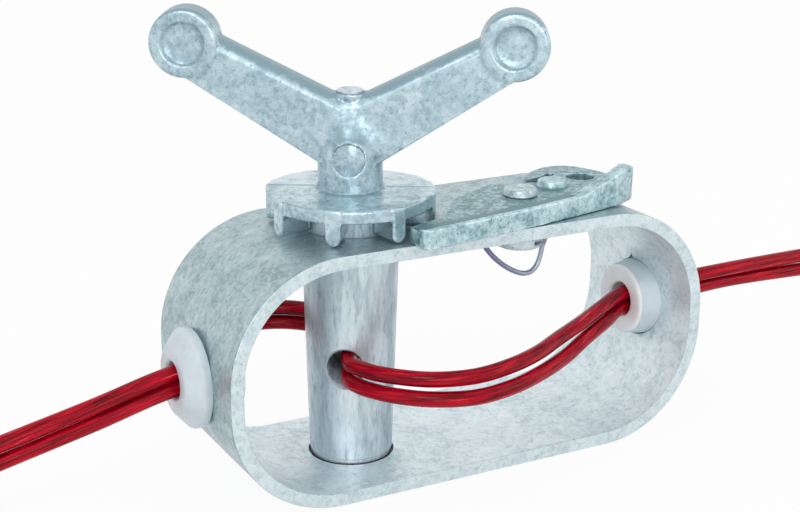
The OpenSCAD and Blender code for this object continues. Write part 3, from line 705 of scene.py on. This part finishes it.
def make_spring():
    start = math.radians(LEG_WAY) + math.acos(COIL_R / LEG_REACH)
    end = math.radians(COIL_END)
    top = COIL_LOW + COIL_PITCH * (end - start) / (2 * math.pi)
    coil = []
    for i in range(COIL_STEPS + 1):
        a = start + (end - start) * i / COIL_STEPS
        coil.append((PIVOT_X + COIL_R * math.cos(a), PIVOT_Y + COIL_R * math.sin(a),
                     top - (top - COIL_LOW) * i / COIL_STEPS))
    x, y = LEG
    legs = [(x, y, 59.2), (x, y, 55.2), (x, y, 52), (x - 0.2, y - 0.15, top + 0.15),
            (x - 1, y - 0.7, top)]
    line = smooth_route(legs + coil + SPRING_TAIL, 5)
    spring = round_tube("spring_wire", line, WIRE_R * MM, 12)
    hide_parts("pawl_spring")
    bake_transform(spring)
    return spring


# ---- Bushes ----

def make_bush(name, side):
    profile = ([(9.25, 0), (10.6, 0), (10.7, 0.15)] + arc(10, 1.5, 0.7, 0, 50, 3)
               + arc(6.6, 3.4, 1.5, 50, 90, 4) + arc(4.8, 4.1, 0.8, 90, 180, 5)
               + arc(4.8, -7.6, 0.8, 180, 270, 5) + arc(7.25, -7.2, 1.2, 270, 360, 6)
               + [(9.25, -3)])
    bush = turned(name, profile + profile[:1], 96)
    place(bush, (side * END_X, 0, BUSH_Z), (0, 90 * side, 0))
    smooth_by_angle(bush, 40)
    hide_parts(name.replace("nylon", "bush"))
    return bush


# ---- Ferrules ----

def make_ferrule(name, at, slope, node_name):
    """Flat oval sleeve with two crimps."""
    ferrule = block(name, (-5.5, -2.75, -4.6), (5.5, 2.75, 4.6))
    pick(ferrule, "EDGE", lambda a, b: abs(a.x - b.x) > 1)
    bpy.ops.mesh.bevel(offset=2.7 * MM, segments=8, affect="EDGES")
    done()
    for x in (-2.2, 2.2):
        for side in (-1, 1):
            cut(ferrule, add("cylinder", "crimp", at=(x, side * 4.1, 0), radius=1.5, depth=12,
                             vertices=32))
    round_all(ferrule, 0.25, 3)
    place(ferrule, at, (0, slope, 0))
    mark_wear_and_shade(ferrule, 3)
    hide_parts(node_name)
    return ferrule


# ---- Finishes ----

def shade(r, g, b):
    """A colour given as it is seen, from 0 to 255."""
    return tuple((c / 255 / 12.92 if c / 255 <= 0.04045 else ((c / 255 + 0.055) / 1.055) ** 2.4)
                 for c in (r, g, b)) + (1,)


def empty_tree(owner, kind):
    """The owner's nodes, cleared down to a new output."""
    owner.use_nodes = True
    tree = owner.node_tree
    tree.nodes.clear()
    return tree, tree.nodes.new(f"ShaderNodeOutput{kind}")


def new_finish(name):
    finish = bpy.data.materials.new(name)
    tree, output = empty_tree(finish, "Material")
    shader = tree.nodes.new("ShaderNodeBsdfPrincipled")
    tree.links.new(shader.outputs[0], output.inputs[0])
    return finish, tree, shader


def node(tree, kind, sockets=None, **settings):
    made = tree.nodes.new(f"ShaderNode{kind}")
    for key, value in settings.items():
        setattr(made, key, value)
    for key, value in (sockets or {}).items():
        if isinstance(value, bpy.types.NodeSocket):
            tree.links.new(value, made.inputs[key])
        else:
            made.inputs[key].default_value = value
    return made


def noise(tree, vector, scale, detail=3.0, roughness=0.55):
    return node(tree, "TexNoise", {"Vector": vector, "Scale": scale, "Detail": detail,
                                   "Roughness": roughness}).outputs["Fac"]


def maths(tree, what, a, b=0.0, clamp=False):
    return node(tree, "Math", {0: a, 1: b}, operation=what, use_clamp=clamp).outputs[0]


def spread_out(tree, value, low, high, to_low=0.0, to_high=1.0):
    return node(tree, "MapRange", {0: value, 1: low, 2: high, 3: to_low, 4: to_high}).outputs[0]


def blend_colours(tree, share, first, second):
    return node(tree, "Mix", {0: share, 6: first, 7: second}, data_type="RGBA").outputs[2]


def weighed(tree, *parts):
    """The sum of values, each times its weight."""
    total = maths(tree, "MULTIPLY", *parts[0])
    for value, weight in parts[1:]:
        total = maths(tree, "ADD", total, maths(tree, "MULTIPLY", value, weight))
    return total


def make_zinc(name, pale, middle, dark, grain, rough, metal, stretch=(1, 1, 1), wear_and_shade=0.0,
              relief=0.03):
    """Galvanised metal: clouded, with a fine crystal grain, dark specks and small pits, and with a
    share given, the point attribute of worn edges and painted light and shade.
    """
    finish, tree, shader = new_finish(name)
    place_of = node(tree, "TexCoord").outputs["Object"]
    where = node(tree, "Mapping", {"Vector": place_of, "Scale": stretch}).outputs[0]
    clouds = noise(tree, where, grain * 0.3, 4, 0.6)
    grains = noise(tree, where, grain * 1.6, 3, 0.6)
    fine = noise(tree, where, grain * 6, 2, 0.6)
    crystals = node(tree, "TexVoronoi", {"Vector": where, "Scale": grain * 1.1}).outputs["Color"]
    crystal = node(tree, "SeparateColor", {0: crystals}).outputs[0]
    tone = weighed(tree, (clouds, 0.4), (grains, 0.35), (fine, 0.15), (crystal, 0.1))
    specks = spread_out(tree, noise(tree, where, grain * 2.4, 2, 0.6), 0.3, 0.4, -0.14, 0)
    tone = maths(tree, "ADD", tone, specks)
    # Worn edges with painted light and shade, read from the piece's point attribute
    if wear_and_shade:
        wear_and_shade_value = node(tree, "Attribute", attribute_name="wear_and_shade").outputs["Fac"]
        clouded_wear_and_shade = maths(tree, "MULTIPLY", wear_and_shade_value, spread_out(tree, clouds, 0.35, 0.65, 0.3, 1.2))
        tone = maths(tree, "ADD", tone, maths(tree, "MULTIPLY", clouded_wear_and_shade, wear_and_shade))
    colour = blend_colours(tree, spread_out(tree, tone, 0.36, 0.5), shade(*dark), shade(*middle))
    colour = blend_colours(tree, spread_out(tree, tone, 0.5, 0.66), colour, shade(*pale))
    tree.links.new(colour, shader.inputs["Base Color"])
    tree.links.new(spread_out(tree, tone, 0.35, 0.7, rough + 0.1, rough - 0.08),
                   shader.inputs["Roughness"])
    height = maths(tree, "ADD", grains, maths(tree, "MULTIPLY", fine, 0.5))
    bump = node(tree, "Bump", {"Height": height, "Strength": 0.5, "Distance": relief * MM})
    tree.links.new(bump.outputs[0], shader.inputs["Normal"])
    shader.inputs["Metallic"].default_value = metal
    return finish


def make_jacket():
    """Clear red jacket over a laid wire rope, with streaks that run along the cable; the palest of
    them are painted highlights.
    """
    finish, tree, shader = new_finish("red_jacket")
    uv = node(tree, "SeparateXYZ", {0: node(tree, "UVMap", uv_map="UVMap").outputs[0]}).outputs
    turn = maths(tree, "MULTIPLY", maths(tree, "ADD", uv[1], maths(tree, "MULTIPLY", uv[0], 0.05)),
                 2 * math.pi)
    round_way = node(tree, "CombineXYZ", {0: maths(tree, "COSINE", turn),
                                          1: maths(tree, "SINE", turn),
                                          2: maths(tree, "MULTIPLY", uv[0], 0.3)}).outputs[0]
    streaks = noise(tree, round_way, 2.6, 4, 0.7)
    fine = noise(tree, node(tree, "Mapping", {"Vector": round_way, "Scale": (5, 5, 3)}).outputs[0],
                 2.2, 2)
    tone = weighed(tree, (streaks, 0.7), (fine, 0.3))
    colour = blend_colours(tree, spread_out(tree, tone, 0.36, 0.5), shade(66, 0, 12),
                           shade(150, 0, 24))
    colour = blend_colours(tree, spread_out(tree, tone, 0.5, 0.6), colour, shade(204, 4, 40))
    # Palest streaks: painted highlights along the cable
    colour = blend_colours(tree, spread_out(tree, tone, 0.62, 0.72), colour, shade(236, 120, 128))
    tree.links.new(colour, shader.inputs["Base Color"])
    bump = node(tree, "Bump", {"Height": streaks, "Strength": 0.2, "Distance": 0.05 * MM})
    tree.links.new(bump.outputs[0], shader.inputs["Normal"])
    shader.inputs["Roughness"].default_value = 0.25
    shader.inputs["Specular IOR Level"].default_value = 0.05
    shader.inputs["Coat Weight"].default_value = 0.22
    shader.inputs["Coat Roughness"].default_value = 0.06
    return finish


def make_nylon(name, pale, dark):
    finish, tree, shader = new_finish(name)
    where = node(tree, "TexCoord").outputs["Object"]
    clouds = noise(tree, where, 160, 3)
    fine = noise(tree, where, 900, 2)
    colour = blend_colours(tree, spread_out(tree, clouds, 0.35, 0.65), shade(*dark), shade(*pale))
    tree.links.new(colour, shader.inputs["Base Color"])
    bump = node(tree, "Bump", {"Height": fine, "Strength": 0.2, "Distance": 0.02 * MM})
    tree.links.new(bump.outputs[0], shader.inputs["Normal"])
    shader.inputs["Roughness"].default_value = 0.38
    shader.inputs["Subsurface Weight"].default_value = 0.5
    shader.inputs["Subsurface Radius"].default_value = (0.004, 0.004, 0.004)
    return finish


def make_spring_steel():
    finish, tree, shader = new_finish("spring_steel")
    where = node(tree, "TexCoord").outputs["Object"]
    across = node(tree, "SeparateXYZ", {0: where}).outputs[0]
    flecks = noise(tree, where, 900, 2)
    tint = maths(tree, "ADD", spread_out(tree, across, 0.006, 0.022),
                 maths(tree, "MULTIPLY", maths(tree, "SUBTRACT", flecks, 0.5), 0.5), clamp=True)
    colour = blend_colours(tree, tint, shade(118, 112, 152), shade(168, 178, 190))
    tree.links.new(colour, shader.inputs["Base Color"])
    tree.links.new(spread_out(tree, flecks, 0.3, 0.7, 0.22, 0.38), shader.inputs["Roughness"])
    shader.inputs["Metallic"].default_value = 0.85
    return finish


def dress(piece, *finishes, choose=None):
    """Gives the piece its finishes, and each face the one that choose numbers for it."""
    piece.data.materials.clear()
    for finish in finishes:
        piece.data.materials.append(finish)
    if choose:
        for face in piece.data.polygons:
            face.material_index = choose(face.center / MM, face.normal)


def bar_face(centre, normal):
    """0 outside, 1 cut edge, 2 inside, a lighter copy of the outside as painted light, 3 wall of
    the drum's lower hole, dark as painted shade.
    """
    from_drum = math.hypot(centre.x - DRUM_X, centre.y)
    if centre.z < BAR_T and from_drum < LOW_HOLE_R + 0.1 and abs(normal.z) < 0.5:
        return 3
    if abs(normal.y) > 0.6 and abs(centre.y) > EDGE_Y - 0.5:
        return 1
    outward = Vector((centre.x * 0.5, 0, centre.z - TOP_Z / 2))
    return 2 * int(normal.dot(outward) < 0)


def drum_face(centre, normal):
    """0 outside, 1 rim of the cable hole with a painted highlight, 2 its wall with painted light
    and shade, 3 foot in the lower hole, dark as painted shade.
    """
    way = Vector((math.cos(math.radians(HOLE_WAY)), math.sin(math.radians(HOLE_WAY)), 0))
    out = centre - Vector((DRUM_X, 0, CABLE_HOLE_Z))
    tilt = abs(normal.dot(way))
    if (out - out.dot(way) * way).length < 4.7 and tilt < 0.9:
        return 2 if tilt < 0.25 else 1
    return 3 if centre.z < BAR_T else 0


def bush_face(centre, normal):
    """1 on the end that faces into the frame, lighter as painted light against its shade, else 0.
    """
    return int(abs(centre.x) < 57 and abs(normal.x) > 0.4)


def rivet_face(centre, normal):
    """1 on the foot under the frame, given the paler finish as painted light against its shade,
    else 0.
    """
    return int(centre.z < 50)


BAR = make_zinc("galvanised_bar", (198, 213, 217), (176, 195, 200), (146, 167, 173), 600, 0.42,
                0.8)
# Lighter copy of the bar's finish for its inner faces: painted light
BAR_INSIDE_LIT = make_zinc("galvanised_inside_painted_light", (240, 248, 250), (226, 239, 243), (200, 216, 222), 600,
                       0.42, 0.7)
# Pale cut edges of the bar; also the rivet's foot, where it is painted light
CUT_EDGE_AND_LIT_FOOT = make_zinc("cut_edge_and_lit_foot", (222, 234, 237), (206, 221, 225), (180, 198, 204), 700, 0.4, 0.5)
DRUM = make_zinc("galvanised_drum", (224, 234, 240), (202, 216, 224), (168, 184, 194), 500, 0.36,
                 0.65, stretch=(1, 1, 0.22))
CASTING = make_zinc("galvanised_casting", (204, 222, 229), (172, 195, 204), (138, 164, 174), 560,
                    0.3, 0.8, wear_and_shade=0.5)
PAWL = make_zinc("galvanised_pawl", (214, 236, 240), (172, 201, 207), (114, 147, 154), 620, 0.36,
                 0.75, wear_and_shade=0.7, relief=0.06)
PIN = make_zinc("galvanised_pin", (216, 229, 232), (184, 202, 206), (146, 166, 172), 700, 0.32,
                0.7)
# The cable hole's wall: painted light at its bottom, painted shade near black at its top
HOLE_SHADING = make_zinc("hole_wall_painted_shading", (208, 240, 252), (160, 190, 204), (10, 12, 18), 600, 0.45, 0.2,
                 wear_and_shade=1.0)
# Near-white rim round the cable hole's mouths: a painted highlight
RIM_HIGHLIGHT = make_zinc("rim_painted_highlight", (232, 250, 255), (216, 242, 252), (196, 224, 236), 600, 0.35, 0.1)
# Dark finish for the crevice round the drum's foot: painted shade
CREVICE_SHADE = make_zinc("painted_crevice_shade", (112, 116, 120), (82, 86, 92), (52, 54, 60), 900, 0.5, 0.1)
FERRULE = make_zinc("ferrule_alloy", (222, 224, 228), (190, 194, 200), (140, 146, 152), 500, 0.3,
                    0.9, wear_and_shade=0.5)
NYLON = make_nylon("milky_nylon", (214, 224, 231), (198, 209, 216))
# Lighter copy of the nylon for the bush ends in shade: painted light
NYLON_LIT = make_nylon("nylon_painted_light", (250, 251, 252), (240, 243, 245))
JACKET, SPRING = make_jacket(), make_spring_steel()

# ---- The winch ----

left_ferrule = make_ferrule("left_sleeve", (-110, 0, 15.6), -13.8, "left_ferrule")
right_ferrule = make_ferrule("right_sleeve", (116.5, 0, 27.3), 1.04, "right_ferrule")
left_cable = add_cable(
    "left_cable", LEFT_UPPER, LEFT_EYE, LEFT_LOWER,
    ("left_upper_strand", "left_lower_strand", "left_cable_eye"))
right_cable = add_cable(
    "right_cable", RIGHT_UPPER, RIGHT_EYE, RIGHT_LOWER,
    ("right_upper_strand", "right_lower_strand", "right_cable_eye", "drum_upper_strand",
     "drum_lower_strand"))
bar = make_bent_bar()
drum = make_drum()
handle = make_handle()
pin = make_cross_pin()
pawl = make_pawl()
rivet = make_rivet()
spring = make_spring()
left_bush = make_bush("left_nylon", -1)
right_bush = make_bush("right_nylon", 1)

for piece, finish in ((left_cable, JACKET), (right_cable, JACKET), (left_ferrule, FERRULE),
                      (right_ferrule, FERRULE), (handle, CASTING), (pin, CASTING), (pawl, PAWL),
                      (spring, SPRING), (frame["nodes"]["retaining_ring"], PIN)):
    dress(piece, finish)
for bush in (left_bush, right_bush):
    dress(bush, NYLON, NYLON_LIT, choose=bush_face)
dress(rivet, PIN, CUT_EDGE_AND_LIT_FOOT, choose=rivet_face)
dress(bar, BAR, CUT_EDGE_AND_LIT_FOOT, BAR_INSIDE_LIT, CREVICE_SHADE, choose=bar_face)
dress(drum, DRUM, RIM_HIGHLIGHT, HOLE_SHADING, CREVICE_SHADE, choose=drum_face)

for body, pieces in (("frame", (left_ferrule, right_ferrule, bar, rivet, left_bush, right_bush)),
                     ("winder", (drum, handle, pin)), ("pawl", (pawl,))):
    for piece in pieces:
        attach(piece, body)


# ---- Floor and light ----

def seen_straight(tree):
    """One where the camera sees the thing itself or its mirror image, nought for its light."""
    path = node(tree, "LightPath").outputs
    return maths(tree, "MAXIMUM", path["Is Camera Ray"],
                 maths(tree, "MAXIMUM", path["Is Glossy Ray"], path["Is Transmission Ray"]))


def add_floor():
    """A pale floor that takes shadows and is seen nearly as white as the background."""
    paper_tone, glow_share, gap = 0.9, 0.93, 0.0002
    deselect()
    bpy.ops.mesh.primitive_plane_add(size=12, location=(0, 0, -gap))
    floor = bpy.context.object
    floor.name = "floor"
    finish = bpy.data.materials.new("pale_floor")
    tree, output = empty_tree(finish, "Material")
    paper = node(tree, "BsdfDiffuse", {"Color": (paper_tone, paper_tone, paper_tone, 1)})
    glow = node(tree, "Emission", {"Color": (1, 1, 1, 1), "Strength": 1.0})
    share = maths(tree, "MULTIPLY", seen_straight(tree), glow_share)
    mix = node(tree, "MixShader", {0: share, 1: paper.outputs[0], 2: glow.outputs[0]})
    tree.links.new(mix.outputs[0], output.inputs[0])
    floor.data.materials.append(finish)


def add_world():
    """White all round, a little weaker as light than as it is seen."""
    lit, seen = 0.8, 1
    world = bpy.data.worlds.new("studio")
    bpy.context.scene.world = world
    tree, output = empty_tree(world, "World")
    strength = spread_out(tree, seen_straight(tree), 0, 1, lit, seen)
    sky = node(tree, "Background", {"Color": (1, 1, 1, 1), "Strength": strength})
    tree.links.new(sky.outputs[0], output.inputs[0])


def add_lamp(name, at, aim, size, power):
    """A rectangular lamp, in metres and watts, that shines at a point."""
    lamp = bpy.data.objects.new(name, bpy.data.lights.new(name, "AREA"))
    bpy.context.scene.collection.objects.link(lamp)
    lamp.data.shape = "RECTANGLE"
    lamp.data.size, lamp.data.size_y = size
    lamp.data.energy = power
    lamp.location = at
    lamp.rotation_mode = "QUATERNION"
    lamp.rotation_quaternion = (Vector(aim) - Vector(at)).to_track_quat("-Z", "Y")


add_floor()
add_world()
bpy.context.scene.view_settings.view_transform = "Standard"
add_lamp("key_light", (-0.5, -0.62, 0.72), (0, 0, 0.05), (0.4, 0.25), 1.6)
add_lamp("front_light", (-0.25, -0.95, 0.22), (0, 0, 0.03), (0.6, 0.25), 1.2)
add_lamp("right_light", (0.65, -0.5, 0.4), (0, 0, 0.04), (0.3, 0.4), 0.4)
